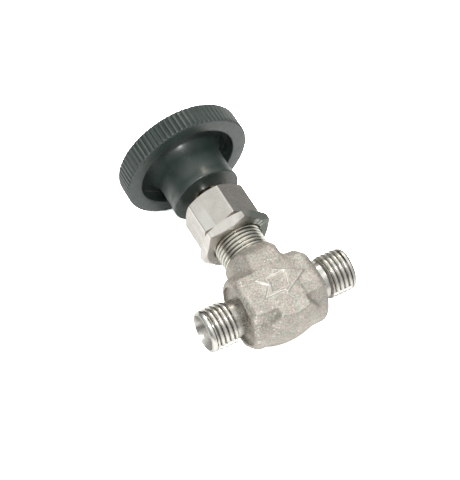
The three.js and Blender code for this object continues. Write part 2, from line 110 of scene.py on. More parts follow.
def build(name, points, faces, material, sharp_degrees=32.0):
    """A closed, smooth-shaded mesh object from drawing points and faces."""
    mesh = bpy.data.meshes.new(name)
    mesh.from_pydata(to_row(points).tolist(), [], [list(map(int, f)) for f in faces])
    bm = bmesh.new()
    bm.from_mesh(mesh)
    bmesh.ops.remove_doubles(bm, verts=bm.verts, dist=2e-7)
    bmesh.ops.dissolve_degenerate(bm, edges=bm.edges, dist=1e-7)
    bmesh.ops.recalc_face_normals(bm, faces=bm.faces)
    bm.to_mesh(mesh)
    bm.free()
    mesh.polygons.foreach_set("use_smooth", [True] * len(mesh.polygons))
    mesh.set_sharp_from_angle(angle=math.radians(sharp_degrees))
    mesh.materials.append(material)
    obj = bpy.data.objects.new(name, mesh)
    bpy.context.scene.collection.objects.link(obj)
    return obj


def ring_faces(row_count, column_count, closed_rows):
    """Quads of a grid whose columns go once round the axis."""
    faces = []
    last = row_count if closed_rows else row_count - 1
    for i in range(last):
        upper = (i + 1) % row_count
        for j in range(column_count):
            k = (j + 1) % column_count
            a, b = i * column_count + j, i * column_count + k
            c, d = upper * column_count + k, upper * column_count + j
            faces.append((a, b, c, d))
    return faces


def rounded(corners, steps=4):
    """An outline through (radius, height, rounding) corners, each turned by a small curve."""
    corners = [np.array(c, float) for c in corners]
    points = [corners[0][:2]]
    for before, corner, after in zip(corners, corners[1:], corners[2:]):
        middle = corner[:2]
        back, ahead = before[:2] - middle, after[:2] - middle
        reach = min(corner[2], 0.48 * np.linalg.norm(back), 0.48 * np.linalg.norm(ahead))
        if reach < 1e-6:
            points.append(middle)
            continue
        start = middle + back / np.linalg.norm(back) * reach
        end = middle + ahead / np.linalg.norm(ahead) * reach
        for k in range(steps + 1):
            t = k / steps
            points.append((1 - t) ** 2 * start + 2 * t * (1 - t) * middle + t ** 2 * end)
    points.append(corners[-1][:2])
    return np.array(points)


def around(radii, heights, angles):
    """Points from arrays of radius and height (rows by columns) about Z."""
    return np.stack([radii * np.cos(angles), radii * np.sin(angles), heights], -1)


def spun(outline, angles):
    """Points of a (radius, height) outline turned about Z."""
    outline = np.asarray(outline, float)
    ones = np.ones((1, len(angles)))
    return around(outline[:, :1] * ones, outline[:, 1:2] * ones, angles[None, :])


def turned(name, outline, material, sides):
    """A lathe-turned solid, whose outline starts and ends on the axis."""
    points = spun(outline, np.linspace(0, 2 * math.pi, sides, endpoint=False))
    faces = ring_faces(len(outline), sides, False)
    return build(name, points.reshape(-1, 3), faces, material)


def lay(points, along):
    """Turns points about Z to point along +X or -X instead, or leaves them along Z."""
    if along == "+x":
        return np.stack([points[..., 2], points[..., 1], -points[..., 0]], -1)
    if along == "-x":
        return np.stack([-points[..., 2], -points[..., 1], -points[..., 0]], -1)
    return points


def vee(phase):
    """A thread's shape over one pitch: 0 in the sharp root, 1 along the broad rounded crest."""
    crest_share = 0.30
    wave = 1 - 2 * np.abs((phase % 1.0) - 0.5)
    lifted = np.clip(wave / (1 - crest_share), 0, 1)
    return 1 - (1 - lifted) ** 1.5


def threaded(name, start, end, crest, root, pitch, lead_in, lead_out, before, after,
             material, along="z", samples=14):
    """A solid with a helical thread between two heights, between plain turned outlines.

    lead_in and lead_out are the heights over which the crest rises from the root and falls to
    it again. before and after are outlines of the plain ends, which start and end on the axis.
    """
    sides = 144
    angles = np.linspace(0, 2 * math.pi, sides, endpoint=False)
    turns = int(math.ceil((end - start) / pitch)) + 1
    rows = np.arange(-samples, turns * samples + 1) / samples
    height = start + (rows[:, None] + angles[None, :] / (2 * math.pi)) * pitch
    height = np.clip(height, start, end)
    phase = (height - start) / pitch - angles[None, :] / (2 * math.pi)
    radius = root + (crest - root) * vee(phase)
    rise = root + (crest - root) * np.clip((height - start) / lead_in, 0, 1)
    fall = root + (crest - root) * np.clip((end - height) / lead_out, 0, 1)
    radius = np.minimum(radius, np.minimum(rise, fall))
    thread = around(radius, height, angles[None, :])
    points = np.concatenate([spun(before, angles), thread, spun(after, angles)], 0)
    faces = ring_faces(len(points), sides, False)
    return build(name, lay(points, along).reshape(-1, 3), faces, material, 38.0)


# ---- Distance fields for the forging ---------------------------------------------------------

def soft_max(a, b, k):
    """The larger of two distances, blended where they differ by less than k."""
    h = np.maximum(k - np.abs(a - b), 0) / k
    return np.maximum(a, b) + h * h * k * 0.25


def soft_min(a, b, k):
    """The smaller of two distances, blended where they differ by less than k."""
    return -soft_max(-a, -b, k)


def polygon_distance(x, z, corners):
    """Signed distance to a closed polygon, negative inside."""
    count = len(corners)
    best = np.full(x.shape, 1e9)
    inside = np.zeros(x.shape, bool)
    for k in range(count):
        ax, az = corners[k]
        bx, bz = corners[(k + 1) % count]
        ex, ez = bx - ax, bz - az
        t = np.clip(((x - ax) * ex + (z - az) * ez) / (ex * ex + ez * ez), 0, 1)
        dx, dz = x - ax - t * ex, z - az - t * ez
        best = np.minimum(best, dx * dx + dz * dz)
        crosses = (az > z) != (bz > z)
        if abs(bz - az) > 1e-9:
            inside ^= crosses & (x < (bx - ax) * (z - az) / (bz - az) + ax)
    return np.where(inside, -1.0, 1.0) * np.sqrt(best)


ARROW_AXIS = -0.55
ARROW_RIM = "arrow_rim"
ARROW = [
    (6.9, ARROW_AXIS), (0.0, ARROW_AXIS + 4.0), (-0.3, ARROW_AXIS + 2.95),
    (-5.8, ARROW_AXIS + 2.85), (-3.1, ARROW_AXIS + 0.1), (-5.7, ARROW_AXIS - 2.9),
    (-0.2, ARROW_AXIS - 2.9), (0.1, ARROW_AXIS - 3.8),
]
ARROW_PANEL = [
    (-2.5, ARROW_AXIS + 1.9), (2.4, ARROW_AXIS + 2.1), (1.2, ARROW_AXIS - 1.7),
    (-3.0, ARROW_AXIS - 1.9), (-2.3, ARROW_AXIS),
]


def step_in(distance, width):
    """1 well inside an outline, 0 outside, over the given width."""
    t = np.clip(0.5 - distance / width, 0, 1)
    return t * t * (3 - 2 * t)


def arrow_relief(x, z):
    """How far the flow arrow stands proud of the front pad."""
    raised = step_in(polygon_distance(x, z, ARROW), 0.40)
    sunken = step_in(polygon_distance(x, z, ARROW_PANEL), 0.35)
    return ARROW_HEIGHT * raised - ARROW_PANEL_DEPTH * sunken


def waviness(x, y, z):
    """The slight unevenness of a hammered surface."""
    return (np.sin(0.9 * x + 0.4 * z + 0.6) * np.sin(0.8 * z - 0.5 * y)
            + 0.6 * np.sin(1.7 * y + 0.9 * x + 1.1) * np.sin(1.5 * z + 0.3 * x)
            + 0.4 * np.sin(2.9 * x - 1.3 * z) * np.sin(2.3 * y + 2.1 * z + 0.7))


def heel_cut(y, z, depth):
    """The slanting face that cuts away the back's underside, at a distance from the port axis."""
    return 0.481 * y - 0.876 * z - depth


def run_field(x, y, z):
    """The round bar along the ports, with rounded end faces, kept behind the pads."""
    across = np.sqrt(y * y + z * z)
    bar = soft_max(across - COLLAR_RADIUS, np.abs(y) - PAD_DEPTH + 0.15, 0.4)
    return soft_max(bar, np.abs(x) - COLLAR_FACE, 2.6)


def wing_field(x, y, z):
    """The flat-sided block that carries the front and back pads, rounded into the end faces."""
    front = -y - PAD_DEPTH - arrow_relief(x, z)
    back = y - PAD_DEPTH
    inward = PAD_DEPTH - np.abs(y)
    ends = np.abs(x) - PAD_HALF_LENGTH
    under = (-z - (-PAD_BOTTOM + 0.27 * np.minimum(inward, 5.0))) * 0.965
    over = (z - (PAD_TOP + 0.30 * inward)) * 0.95
    flanks = soft_max(soft_max(under, over, 0.6), heel_cut(y, z, 8.4), 2.0)
    return soft_max(soft_max(soft_max(front, back, 0.1), flanks, 0.45), ends, 2.4)


def keel_field(x, y, z):
    """The belly under the port axis: narrow at the front pad, wide behind, cut away at the back."""
    inward = np.clip(y + PAD_DEPTH, 0, 7.4)
    half_width = FRONT_HALF_WIDTH + 0.62 * inward
    curve = 0.058 - 0.0035 * inward
    bottom = -z - (10.15 + 0.08 * np.clip(y + PAD_DEPTH, 0, PAD_DEPTH)) + curve * x * x
    sides = (np.abs(x) - half_width) * 0.90
    faces = np.abs(y) - PAD_DEPTH
    heel = heel_cut(y, z, PORT_AXIS_HEIGHT) + 0.032 * x * x
    under = soft_max(bottom, heel, 3.0)
    corner = 0.5 + 0.38 * np.clip(y + 6.5, 0, 9.0)
    return soft_max(soft_max(under, faces, 0.45), soft_max(sides, z, 0.5), corner)


def boss_field(x, y, z):
    """The round shoulder under the bonnet thread, with the pads running up its front and back."""
    across = np.sqrt((x - BOSS_SHIFT) ** 2 + y * y)
    edge = 0.6
    out_r = across - (BOSS_RADIUS - edge)
    out_z = np.abs(z - BOSS_TOP / 2) - (BOSS_TOP / 2 - edge)
    corner = np.sqrt(np.maximum(out_r, 0) ** 2 + np.maximum(out_z, 0) ** 2)
    boss = corner + np.minimum(np.maximum(out_r, out_z), 0) - edge
    rise = np.maximum(z - APRON_BEND, 0)
    depth = PAD_DEPTH - 0.11 * rise ** 2
    half_width = APRON_HALF_WIDTH - 0.10 * np.maximum(z - PAD_TOP, 0)
    apron = soft_max(np.abs(y) - depth, np.abs(x - BOSS_SHIFT) - half_width, 1.6)
    apron = soft_max(apron, z - APRON_TOP, 1.4)
    apron = soft_max(apron, -z, 0.5)
    return soft_min(boss, apron, 1.2)


def forging_field(x, y, z):
    """The whole forging, with a pocket round each port and a socket for the neck."""
    body = soft_min(run_field(x, y, z), boss_field(x, y, z), 1.7)
    body = soft_min(body, wing_field(x, y, z), 0.55)
    body = soft_min(body, keel_field(x, y, z), 0.7)
    body = body - 0.035 * waviness(x, y, z)
    across = np.sqrt(y * y + z * z)
    faces = np.abs(x) - COLLAR_FACE
    body = soft_max(body, faces, 0.25)
    pocket = soft_max(across - POCKET_RADIUS, (COLLAR_FACE - POCKET_DEPTH) - np.abs(x), 0.25)
    body = soft_max(body, -pocket, 0.22)
    socket = np.sqrt(x * x + y * y) - (NECK_ROOT - 0.3)
    return np.maximum(body, -np.maximum(socket, NECK_SOCKET_FLOOR - z))


def surface_net(field, low, high, step):
    """A quad mesh of the field's zero surface: one point in each cell that it crosses."""
    axes = [np.arange(a, b + step, step) for a, b in zip(low, high)]
    value = field(*np.meshgrid(*axes, indexing="ij"))
    inside = value < 0
    shape = tuple(n - 1 for n in value.shape)
    total = np.zeros(shape + (3,))
    count = np.zeros(shape)
    edge_starts = [(0, 0, 0), (1, 0, 0), (0, 1, 0), (0, 0, 1), (1, 1, 0), (1, 0, 1), (0, 1, 1)]
    for start in edge_starts:
        for axis in range(3):
            if start[axis]:
                continue
            end = list(start)
            end[axis] = 1
            a = value[tuple(slice(s, s + n) for s, n in zip(start, shape))]
            b = value[tuple(slice(s, s + n) for s, n in zip(end, shape))]
            crossing = (a < 0) != (b < 0)
            share = np.where(crossing, a / np.where(crossing, a - b, 1.0), 0.0)
            for d in range(3):
                offset = share if d == axis else float(start[d])
                total[..., d] += np.where(crossing, offset, 0.0)
            count += crossing
    used = count > 0
    number = np.full(shape, -1)
    number[used] = np.arange(used.sum())
    cell = np.argwhere(used)
    points = (cell + total[used] / count[used][:, None]) * step + np.array(low)
    quads = []
    for axis in range(3):
        u, v = [d for d in range(3) if d != axis]
        lower = [slice(None)] * 3
        upper = [slice(None)] * 3
        lower[axis], upper[axis] = slice(0, -1), slice(1, None)
        flips = inside[tuple(lower)] != inside[tuple(upper)]
        found = np.argwhere(flips)
        found = found[(found[:, u] > 0) & (found[:, v] > 0)]
        found = found[(found[:, u] < value.shape[u] - 1) & (found[:, v] < value.shape[v] - 1)]
        corners = []
        for du, dv in ((1, 1), (0, 1), (0, 0), (1, 0)):
            c = found.copy()
            c[:, u] -= du
            c[:, v] -= dv
            corners.append(number[tuple(c.T)])
        quads.append(np.stack(corners, -1))
    return points, np.concatenate(quads)


def settle_on(field, points):
    """Moves points along the field's slope until they lie on its zero surface."""
    h = 0.01
    longest_move = 0.1
    for _ in range(3):
        x, y, z = points.T
        value = field(x, y, z)
        slope = np.stack([
            field(x + h, y, z) - field(x - h, y, z),
            field(x, y + h, z) - field(x, y - h, z),
            field(x, y, z + h) - field(x, y, z - h)], -1) / (2 * h)
        steep = np.maximum((slope * slope).sum(-1), 0.25)
        points = points - np.clip(value / steep, -longest_move, longest_move)[:, None] * slope
    return points


def make_forging(material):
    """The forged body, without its turned ports and neck."""
    step = 0.15
    low, high = (-10.9, -10.2, -11.5), (10.9, 9.9, 13.5)
    points, quads = surface_net(forging_field, low, high, step)
    points = settle_on(forging_field, points)
    forging = build("body_forging", points, quads, material, 50.0)
    mark_arrow_rim(forging.data)
    return forging


def mark_arrow_rim(mesh):
    """Stores how near each point is to the flow arrow's upper edge, burnished and painted with a
    highlight.
    """
    width, inset = 0.26, 0.10
    places = np.empty(len(mesh.vertices) * 3)
    mesh.vertices.foreach_get("co", places)
    x, y, z = places.reshape(-1, 3).T / MM
    outline = np.abs(polygon_distance(x, z - PORT_AXIS_HEIGHT, ARROW) + inset)
    panel = np.abs(polygon_distance(x, z - PORT_AXIS_HEIGHT, ARROW_PANEL) - inset)
    near = np.clip(1.3 - np.minimum(outline, panel) / width, 0, 1)
    rim = mesh.attributes.new(ARROW_RIM, "FLOAT", "POINT")
    rim.data.foreach_set("value", np.where(y < -PAD_DEPTH / 2, near, 0.0))


# ---- Materials -------------------------------------------------------------------------------

MIX_COLOUR_A, MIX_COLOUR_B, MIX_COLOUR_OUT = 6, 7, 2
# Colour of the burnished edges, also used as a painted highlight along the arrow's rim.
BURNISH_AND_HIGHLIGHT = (0.90, 0.87, 0.81, 1)


def fill_ramp(ramp, stops):
    """Sets a colour ramp from (position, colour) stops."""
    while len(ramp.elements) < len(stops):
        ramp.elements.new(0.5)
    for element, (position, colour) in zip(ramp.elements, stops):
        element.position = position
        element.color = (*colour, 1.0)


class Paint:
    """A small helper that wires one material's nodes."""

    def __init__(self, name):
        self.material = bpy.data.materials.new(name)
        self.material.use_nodes = True
        self.tree = self.material.node_tree
        self.shader = self.tree.nodes["Principled BSDF"]
        coordinate = self.tree.nodes.new("ShaderNodeTexCoord")
        scale = self.node("ShaderNodeVectorMath", operation="SCALE")
        scale.inputs["Scale"].default_value = 1 / MM
        self.link(coordinate.outputs["Object"], scale.inputs[0])
        self.place = scale.outputs[0]

    def node(self, kind, **settings):
        """A new node with the given settings."""
        node = self.tree.nodes.new(kind)
        for key, value in settings.items():
            setattr(node, key, value)
        return node

    def link(self, source, target):
        """Joins an output to an input."""
        self.tree.links.new(source, target)

    def put(self, target, value):
        """Feeds a socket from another socket, or sets its value."""
        if hasattr(value, "is_output"):
            self.link(value, target)
        else:
            target.default_value = value

    def stretched(self, factors):
        """The place in millimetres, with each axis multiplied by a factor."""
        node = self.node("ShaderNodeVectorMath", operation="MULTIPLY")
        self.link(self.place, node.inputs[0])
        node.inputs[1].default_value = factors
        return node.outputs[0]

    def noise(self, scale, detail=4.0, roughness=0.55, place=None):
        """Noise with the given number of lumps per millimetre."""
        node = self.node("ShaderNodeTexNoise")
        self.link(place or self.place, node.inputs["Vector"])
        node.inputs["Scale"].default_value = scale
        node.inputs["Detail"].default_value = detail
        node.inputs["Roughness"].default_value = roughness
        return node.outputs["Fac"]

    def ramp(self, value, stops):
        """A colour ramp from (position, colour or grey) stops."""
        node = self.node("ShaderNodeValToRGB")
        self.link(value, node.inputs["Fac"])
        fill_ramp(node.color_ramp, [(at, c if hasattr(c, "__len__") else (c, c, c)) for at, c in stops])
        return node.outputs["Color"]

    def mix(self, share, a, b, blend="MIX"):
        """Colour a with a share of colour b laid over it."""
        node = self.node("ShaderNodeMix", data_type="RGBA", blend_type=blend)
        self.put(node.inputs["Factor"], share)
        self.put(node.inputs[MIX_COLOUR_A], a)
        self.put(node.inputs[MIX_COLOUR_B], b)
        return node.outputs[MIX_COLOUR_OUT]

    def math(self, operation, a, b):
        """The result of one sum on two numbers or sockets."""
        node = self.node("ShaderNodeMath", operation=operation)
        self.put(node.inputs[0], a)
        self.put(node.inputs[1], b)
        return node.outputs[0]

    def from_ports(self):
        """Millimetres from the point where the port axis crosses the stem axis."""
        node = self.node("ShaderNodeVectorMath", operation="SUBTRACT")
        self.link(self.place, node.inputs[0])
        node.inputs[1].default_value = (0, 0, PORT_AXIS_HEIGHT)
        return node.outputs[0]

    def radius(self, axis):
        """Distance from an axis, as a share of GROOVE_SCALE; axis is 0 along it and 1 across it."""
        flat = self.node("ShaderNodeVectorMath", operation="MULTIPLY")
        self.link(self.from_ports(), flat.inputs[0])
        flat.inputs[1].default_value = axis
        length = self.node("ShaderNodeVectorMath", operation="LENGTH")
        self.link(flat.outputs[0], length.inputs[0])
        return self.math("DIVIDE", length.outputs["Value"], GROOVE_SCALE)

    def beyond(self, direction, low, high):
        """Rises from 0 to 1 between two distances along a direction."""
        dot = self.node("ShaderNodeVectorMath", operation="DOT_PRODUCT")
        self.link(self.from_ports(), dot.inputs[0])
        dot.inputs[1].default_value = direction
        node = self.node("ShaderNodeMapRange")
        self.link(dot.outputs["Value"], node.inputs["Value"])
        node.inputs["From Min"].default_value = low
        node.inputs["From Max"].default_value = high
        return node.outputs["Result"]

    def edges(self, low, high):
        """1 on worn outer edges, 0 elsewhere."""
        geometry = self.node("ShaderNodeNewGeometry")
        return self.ramp(geometry.outputs["Pointiness"], [(low, 0.0), (high, 1.0)])

    def bumps(self, layers):
        """Chained bumps from (height, depth in millimetres) pairs."""
        normal = None
        for height, depth in layers:
            node = self.node("ShaderNodeBump")
            node.inputs["Strength"].default_value = 1.0
            node.inputs["Distance"].default_value = depth * MM
            self.put(node.inputs["Height"], height)
            if normal is not None:
                self.link(normal, node.inputs["Normal"])
            normal = node.outputs["Normal"]
        self.link(normal, self.shader.inputs["Normal"])

    def set(self, **values):
        """Sets the shader's own inputs and gives back the finished material."""
        names = {"colour": "Base Color", "roughness": "Roughness", "metallic": "Metallic",
                 "coat": "Coat Weight", "coat_roughness": "Coat Roughness", "ior": "IOR"}
        for key, value in values.items():
            self.put(self.shader.inputs[names[key]], value)
        return self.material


def forged_steel():
    """Bead-blasted stainless: warm, mottled and grainy; burnished edges, painted highlight on the
    arrow.
    """
    p = Paint("forged_steel")
    blotch = p.noise(0.30, 5.0, 0.6)
    grain = p.noise(2.6, 4.0, 0.7)
    speck = p.noise(6.0, 2.0, 0.5)
    warm = p.ramp(blotch, [
        (0.30, (0.52, 0.48, 0.445)), (0.52, (0.60, 0.555, 0.515)), (0.72, (0.69, 0.645, 0.60))])
    tint = p.ramp(p.noise(0.9, 3.0), [(0.35, (0.88, 1.0, 0.94)), (0.60, (1.0, 0.93, 0.91))])
    base = p.mix(0.6, warm, tint, "MULTIPLY")
    base = p.mix(0.8, base, p.ramp(grain, [(0.35, 0.50), (0.65, 1.22)]), "MULTIPLY")
    rim = p.node("ShaderNodeAttribute", attribute_name=ARROW_RIM)
    worn = p.math("MAXIMUM", p.edges(0.53, 0.60), p.math("MULTIPLY", rim.outputs["Fac"], 0.9))
    # Painted highlight with burnish along the arrow's rim; plain burnish on the worn edges.
    base = p.mix(p.math("MULTIPLY", worn, 0.7), base, BURNISH_AND_HIGHLIGHT)
    rough = p.mix(worn, p.ramp(speck, [(0.3, 0.48), (0.7, 0.66)]), (0.30, 0.30, 0.30, 1))
    p.bumps([(grain, 0.09), (speck, 0.04)])
    return p.set(colour=base, roughness=rough, metallic=0.85)


def turned_steel(name, colour, roughness, factors, axis, painted_groove_shade):
    """Bright lathe-turned stainless, with painted shade in its thread roots, relief and bore.

    factors draw the tool marks out round the axis, axis is 0 along it and 1 across it, and the
    last argument gives the painted shade as (radius, grey) stops.
    """
    p = Paint(name)
    marks = p.noise(1.0, 4.0, 0.65, place=p.stretched(factors))
    stain = p.noise(0.55, 4.0, 0.6)
    base = p.mix(0.5, (*colour, 1), p.ramp(stain, [(0.3, 0.78), (0.7, 1.08)]), "MULTIPLY")
    base = p.mix(0.25, base, p.ramp(marks, [(0.3, 0.7), (0.7, 1.1)]), "MULTIPLY")
    # Painted shade: darker by radius, in the thread roots, the relief and the bore.
    shade = p.ramp(p.radius(axis), [(radius / GROOVE_SCALE, grey) for radius, grey in painted_groove_shade])
    base = p.mix(1.0, base, shade, "MULTIPLY")
    rough = p.ramp(p.noise(1.4, 3.0), [(0.3, roughness[0]), (0.7, roughness[1])])
    p.bumps([(marks, 0.006)])
    return p.set(colour=base, roughness=rough, metallic=1.0)


def nut_steel(name, colour, roughness, painted_shade_side=None):
    """Milled hexagon stainless with a fine grain and polished edges.

    The last argument, when given, lays a painted shade on the side between two distances along the
    camera's right.
    """
    p = Paint(name)
    grain = p.noise(5.0, 3.0, 0.6)
    brush = p.noise(1.0, 4.0, 0.6, place=p.stretched((1.2, 1.2, 14.0)))
    stain = p.noise(0.4, 4.0)
    base = p.mix(0.5, (*colour, 1), p.ramp(stain, [(0.3, 0.80), (0.7, 1.08)]), "MULTIPLY")
    base = p.mix(0.35, base, p.ramp(grain, [(0.35, 0.8), (0.65, 1.08)]), "MULTIPLY")
    if painted_shade_side:
        # Painted shade on the nut's side to the camera's right.
        base = p.mix(p.beyond(CAMERA_RIGHT, *painted_shade_side), base, (0.16, 0.18, 0.155, 1))
    worn = p.edges(0.51, 0.58)
    base = p.mix(p.math("MULTIPLY", worn, 0.4), base, (0.88, 0.87, 0.84, 1))
    satin = p.ramp(grain, [(0.3, roughness), (0.7, roughness + 0.12)])
    rough = p.mix(worn, satin, (0.15, 0.15, 0.15, 1))
    p.bumps([(brush, 0.002), (grain, 0.002)])
    return p.set(colour=base, roughness=rough, metallic=1.0)


def black_plastic():
    """Moulded phenolic: near black, semi-gloss, slightly uneven, greyed on its edges."""
    p = Paint("black_plastic")
    cloud = p.noise(0.35, 4.0)
    fine = p.noise(4.0, 3.0)
    base = p.ramp(cloud, [(0.3, (0.017, 0.029, 0.024)), (0.7, (0.028, 0.044, 0.038))])
    worn = p.edges(0.53, 0.62)
    base = p.mix(p.math("MULTIPLY", worn, 0.35), base, (0.07, 0.07, 0.07, 1))
    rough = p.ramp(p.noise(1.1, 4.0), [(0.3, 0.36), (0.7, 0.48)])
    p.bumps([(cloud, 0.05), (fine, 0.001)])
    return p.set(colour=base, roughness=rough, metallic=0.0, ior=1.6, coat=0.5,
                 coat_roughness=0.25)


def plain_part(name, colour, metallic, roughness):
    """A small inside part: even colour with a little stain, grain and bump."""
    p = Paint(name)
    grain = p.noise(3.0, 3.0)
    base = p.mix(0.4, (*colour, 1), p.ramp(p.noise(0.6), [(0.3, 0.8), (0.7, 1.1)]), "MULTIPLY")
    rough = p.ramp(grain, [(0.3, roughness - 0.06), (0.7, roughness + 0.08)])
    p.bumps([(grain, 0.004)])
    return p.set(colour=base, roughness=rough, metallic=metallic)


# ---- Ports and neck --------------------------------------------------------------------------

def make_port(name, along, material):
    """One tube port: a relief, an outside thread, a plain end band, and a coned tube socket."""
    band = 1.15
    cone_length = (PORT_CONE - SOCKET) / math.tan(CONE_ANGLE)
    inner = COLLAR_FACE - POCKET_DEPTH - 1.0
    before = [(0, inner), (PORT_RELIEF, inner), (PORT_RELIEF, PORT_THREAD_START - 0.25)]
    inside = rounded([
        (PORT_CREST - 0.1, PORT_FACE - band, 0), (PORT_CREST - 0.1, PORT_FACE - 0.55, 0.15),
        (PORT_LIP, PORT_FACE, 0.12), (PORT_CONE, PORT_FACE, 0.06),
        (SOCKET, PORT_FACE - cone_length, 0.2), (SOCKET, PORT_FACE - SOCKET_DEPTH, 0),
        (PORT_BORE, PORT_FACE - SOCKET_DEPTH, 0.1), (PORT_BORE, inner + 0.4, 0), (0, inner + 0.2, 0)])
    return threaded(name, PORT_THREAD_START, PORT_FACE - band, PORT_CREST, PORT_ROOT, PORT_PITCH,
                    0.55, 0.25, before, inside, material, along=along)


def make_neck(material):
    """The threaded bonnet neck, bored for the packing."""
    before = [(0, BOSS_TOP - 1.5), (NECK_ROOT, BOSS_TOP - 1.5)]
    after = [(PACKING_BORE, NECK_TOP), (PACKING_BORE, PACKING_FLOOR), (0, PACKING_FLOOR)]
    return threaded("bonnet_neck", BOSS_TOP - 0.4, NECK_TOP, NECK_CREST, NECK_ROOT, NECK_PITCH,
                    0.3, 0.7, before, after, material, samples=12)


# ---- Nuts ------------------------------------------------------------------------------------

def hexagon_radius(angles, across, rounding):
    """Distance from the axis to a hexagon's side, its corners slightly rounded."""
    flat = across / 2 / np.cos((angles + math.pi / 6) % (math.pi / 3) - math.pi / 6)
    return soft_min(flat, np.full_like(flat, across / math.sqrt(3) - rounding), rounding * 1.5)


def make_nut(name, across, turn, bottom, top, bottom_end, top_end, bore_outline, material):
    """A hexagon nut whose corners are turned down to the (radius, slope) of each end."""
    sharp_degrees = 24
    columns = 12 * 24
    angles = np.linspace(0, 2 * math.pi, columns, endpoint=False)
    side = hexagon_radius(angles, across, 0.06)
    rows = []

    def add(radius, height):
        """Adds a ring of points."""
        rows.append(around(radius * np.ones(columns), height * np.ones(columns), angles + turn))

    def shoulder(radius, end):
        """How far an end face falls away at a radius."""
        return np.maximum(radius - end[0], 0) * end[1]

    shares = [0.0, 0.35, 0.7, 0.93, 1.0]
    for share in shares:
        radius = bottom_end[0] + (side - bottom_end[0]) * share
        radius = np.where(side < bottom_end[0], side, radius) if share == 0 else radius
        add(radius, bottom + shoulder(radius, bottom_end))
    for share in reversed(shares):
        radius = top_end[0] + (side - top_end[0]) * share
        add(radius, top - shoulder(radius, top_end))
    for radius, height in bore_outline:
        add(np.full(columns, radius), np.full(columns, height))
    points = np.stack(rows)
    faces = ring_faces(len(rows), columns, True)
    obj = build(name, points.reshape(-1, 3), faces, material, sharp_degrees)
    bevel = obj.modifiers.new("edges", "BEVEL")
    bevel.width = 0.13 * MM
    bevel.segments = 3
    bevel.limit_method = "ANGLE"
    bevel.angle_limit = math.radians(sharp_degrees)
    return obj


def make_panel_nut(material):
    """The thin hexagon that clamps a panel."""
    end = (PANEL_NUT_ACROSS / 2 - 0.15, 0.48)
    edge = 0.5
    bore = [
        (NUT_BORE + edge, PANEL_NUT_TOP), (NUT_BORE, PANEL_NUT_TOP - edge),
        (NUT_BORE, PANEL_NUT_BOTTOM + edge), (NUT_BORE + edge, PANEL_NUT_BOTTOM)]
    return make_nut("panel_nut_hexagon", PANEL_NUT_ACROSS, PANEL_NUT_TURN, PANEL_NUT_BOTTOM,
                    PANEL_NUT_TOP, end, end, bore, material)


def make_packing_nut(material):
    """The tall hexagon with a roof over the packing, and a hole in it for the stem."""
    bottom_end = (PACKING_NUT_ACROSS / 2 - 0.1, 0.45)
    top_end = (6.6, 0.50)
    hole = STEM_RADIUS + 0.12
    chamfer, edge = 0.3, 0.5
    bore = [
        (hole + chamfer, PACKING_NUT_TOP), (hole, PACKING_NUT_TOP - chamfer),
        (hole, PACKING_NUT_ROOF), (NUT_BORE, PACKING_NUT_ROOF),
        (NUT_BORE, PACKING_NUT_BOTTOM + edge), (NUT_BORE + edge, PACKING_NUT_BOTTOM)]
    return make_nut("packing_nut_hexagon", PACKING_NUT_ACROSS, PACKING_NUT_TURN,
                    PACKING_NUT_BOTTOM, PACKING_NUT_TOP, bottom_end, top_end, bore, material)


# ---- Knob ------------------------------------------------------------------------------------

def knob_outline():
    """Rows of (radius, height, flute share) from the bore's ceiling round to the top face."""
    lower = rounded([
        (0, HUB_BORE_CEILING, 0), (HUB_BORE, HUB_BORE_CEILING, 0), (HUB_BORE, INSERT_TOP, 0),
        (INSERT_POCKET, INSERT_TOP, 0), (INSERT_POCKET, INSERT_BOTTOM, 0),
        (HUB_MOUTH, INSERT_BOTTOM, 0), (HUB_MOUTH, HUB_BOTTOM, 0.3), (HUB_LIP, HUB_BOTTOM, 0.45),
        (HUB_LIP - 0.05, HUB_BOTTOM + 1.2, 0.5), (HUB_RADIUS, HUB_BOTTOM + 2.6, 1.0),
        (HUB_RADIUS, RECESS_CEILING - FLARE_HEIGHT, 0)], steps=8)
    turns = np.linspace(0, math.pi / 2, 20)[1:]
    flare = np.stack([HUB_RADIUS + FLARE_ACROSS * (1 - np.cos(turns)),
                      RECESS_CEILING - FLARE_HEIGHT * (1 - np.sin(turns))], -1)
    upper = rounded([
        (HUB_RADIUS + FLARE_ACROSS, RECESS_CEILING, 0), (RECESS_RADIUS, RECESS_CEILING, 0.2),
        (RECESS_RADIUS + 0.1, KNOB_BOTTOM, 0.35), (KNOB_RADIUS - 0.5, KNOB_BOTTOM, 0.3)], steps=6)
    inner = np.concatenate([lower, flare, upper[1:]])
    rows = [(r, z, 0.0) for r, z in inner]
    low, high = KNOB_BOTTOM, KNOB_TOP
    rows += [(KNOB_RADIUS - 0.5, low, 0.0), (KNOB_RADIUS - 0.3, low + 0.04, 0.15),
             (KNOB_RADIUS - 0.1, low + 0.2, 0.7), (KNOB_RADIUS, low + RIM_EDGE, 1.0)]
    steps = 6
    straight = high - low - (RIM_EDGE + RIM_ROUND)
    for k in range(1, steps + 1):
        rows.append((KNOB_RADIUS, low + RIM_EDGE + straight * k / steps, 1.0))
    for k in range(1, steps + 1):
        turn = k / steps * math.pi / 2
        radius = KNOB_RADIUS - RIM_ROUND * (1 - math.cos(turn))
        rows.append((radius, high - RIM_ROUND + RIM_ROUND * math.sin(turn), 1.0 - k / steps))
    top = rounded([
        (KNOB_RADIUS - 1.2, high, 0), (RECESS_RADIUS + 0.6, high, 0.6),
        (RECESS_RADIUS - 1.0, high - KNOB_DISH, 0.9), (0, high - KNOB_DISH, 0)], steps=5)
    return np.array(rows + [(r, z, 0.0) for r, z in top])


def across_hub(mesh, start):
    """Turns a solid made about Z to point along +Y at the set screw's height, from a given Y."""
    centre = Vector(to_row((0, 0, 0)))
    stand = Matrix.Translation(Vector(to_row((0, start, SCREW_HEIGHT))))
    mesh.transform(stand @ Matrix.Rotation(-math.pi / 2, 4, "X") @ Matrix.Translation(-centre))


